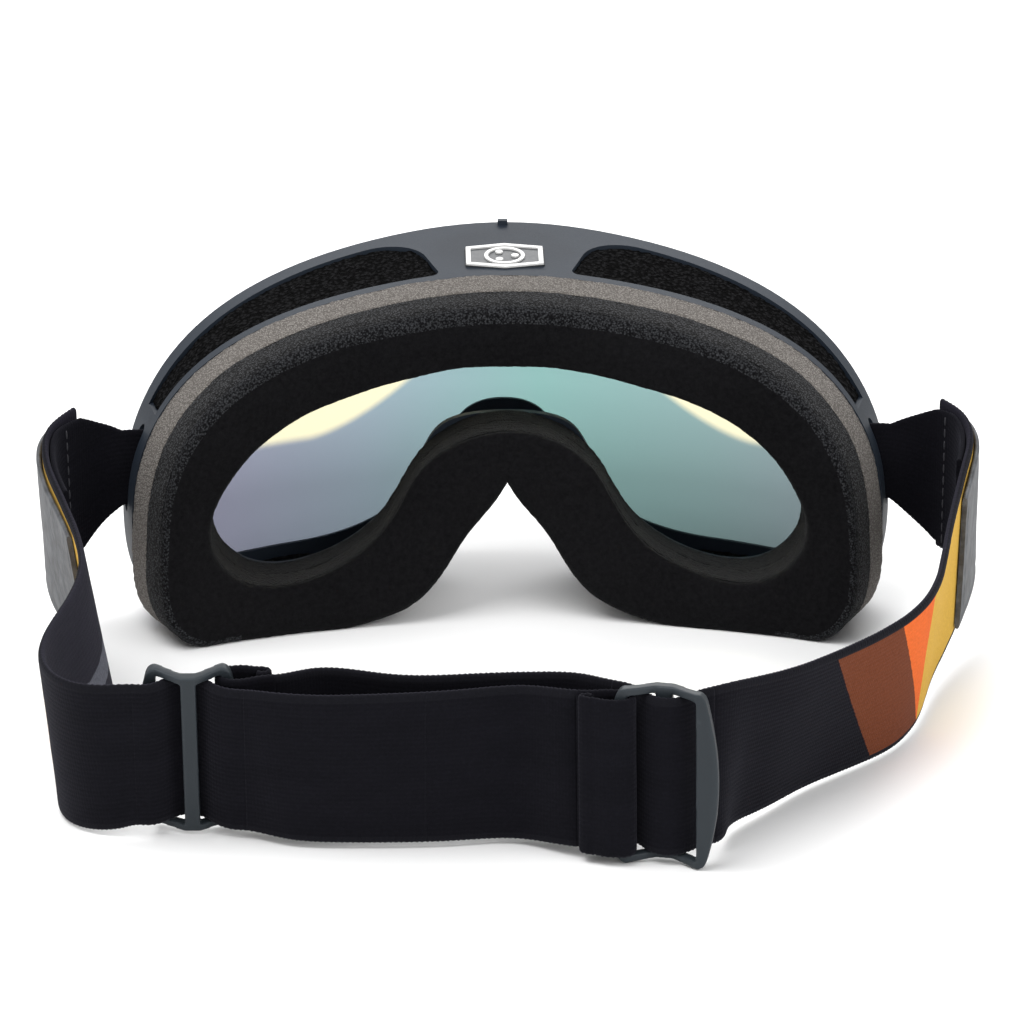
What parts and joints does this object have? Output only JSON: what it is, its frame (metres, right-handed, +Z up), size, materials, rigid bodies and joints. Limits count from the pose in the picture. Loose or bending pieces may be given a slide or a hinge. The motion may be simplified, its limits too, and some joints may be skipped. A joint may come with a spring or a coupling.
{
  "type": "motorcycle goggles",
  "caption": "Wide single-lens motorcycle goggles with layered face foam, vent foam, a badge and an elastic head strap that two sliders shorten and lengthen.",
  "frame": {"origin": "middle of the overall footprint, on the surface that the goggles stand on", "axes": "+Y points forwards out of the lens, +Z is up, +X is the wearer's right"},
  "size_m": [0.225, 0.202, 0.087],
  "materials": {
    "frame_shell": "matte",
    "lens_tint": "polished, tinted",
    "grey_foam": "matte foam",
    "dark_foam": "matte foam",
    "fleece": "brushed fleece",
    "vent_foam": "open-cell foam",
    "badge_field": "satin",
    "badge_print": "satin",
    "strap_webbing": "woven elastic",
    "patch_leather": "grained",
    "slider_plastic": "satin"
  },
  "bodies": {
    "goggles": {"frame": "frame_shell", "face_foam_base": "grey_foam", "face_foam_mid": "dark_foam", "face_fleece": "fleece", "top_vent_foam_left": "vent_foam", "top_vent_foam_right": "vent_foam", "lower_vent_foam_left": "vent_foam", "lower_vent_foam_right": "vent_foam", "badge_plate": "badge_field", "badge_rim": "badge_print", "badge_emblem": "badge_print", "anchor_panel_left": "strap_webbing", "anchor_panel_right": "strap_webbing", "strap_stop_left": "slider_plastic", "strap_stop_right": "slider_plastic", "strap_side_left": "strap_webbing", "strap_side_right": "strap_webbing", "strap_patch_left": "patch_leather", "strap_patch_right": "patch_leather", "strap_layer_left": "strap_webbing", "strap_layer_right": "strap_webbing"},
    "lens": {"lens": "lens_tint"},
    "left_slider": {"strap_slider_left": "slider_plastic", "strap_weave_left": "strap_webbing", "sewn_end_right": "strap_webbing"},
    "right_slider": {"strap_slider_right": "slider_plastic", "strap_weave_right": "strap_webbing", "sewn_end_left": "strap_webbing"}
  },
  "joints": [
    {"name": "lens_pull", "type": "slide", "parent": "goggles", "child": "lens", "axis": [0, 1, 0], "range_m": [0, 0.04]},
    {"name": "right_slider_slide", "type": "slide", "parent": "goggles", "child": "right_slider", "axis": [-1, 0, 0], "range_m": [0, 0.028], "deforming": ["strap_layer_left", "strap_layer_right"]},
    {"name": "left_slider_slide", "type": "slide", "parent": "goggles", "child": "left_slider", "axis": [1, 0, 0], "range_m": [0, 0.028], "deforming": ["strap_layer_left", "strap_layer_right"]}
  ],
  "couplings": [
    {"joint": "left_slider_slide", "follows": "right_slider_slide", "ratio": 1}
  ]
}
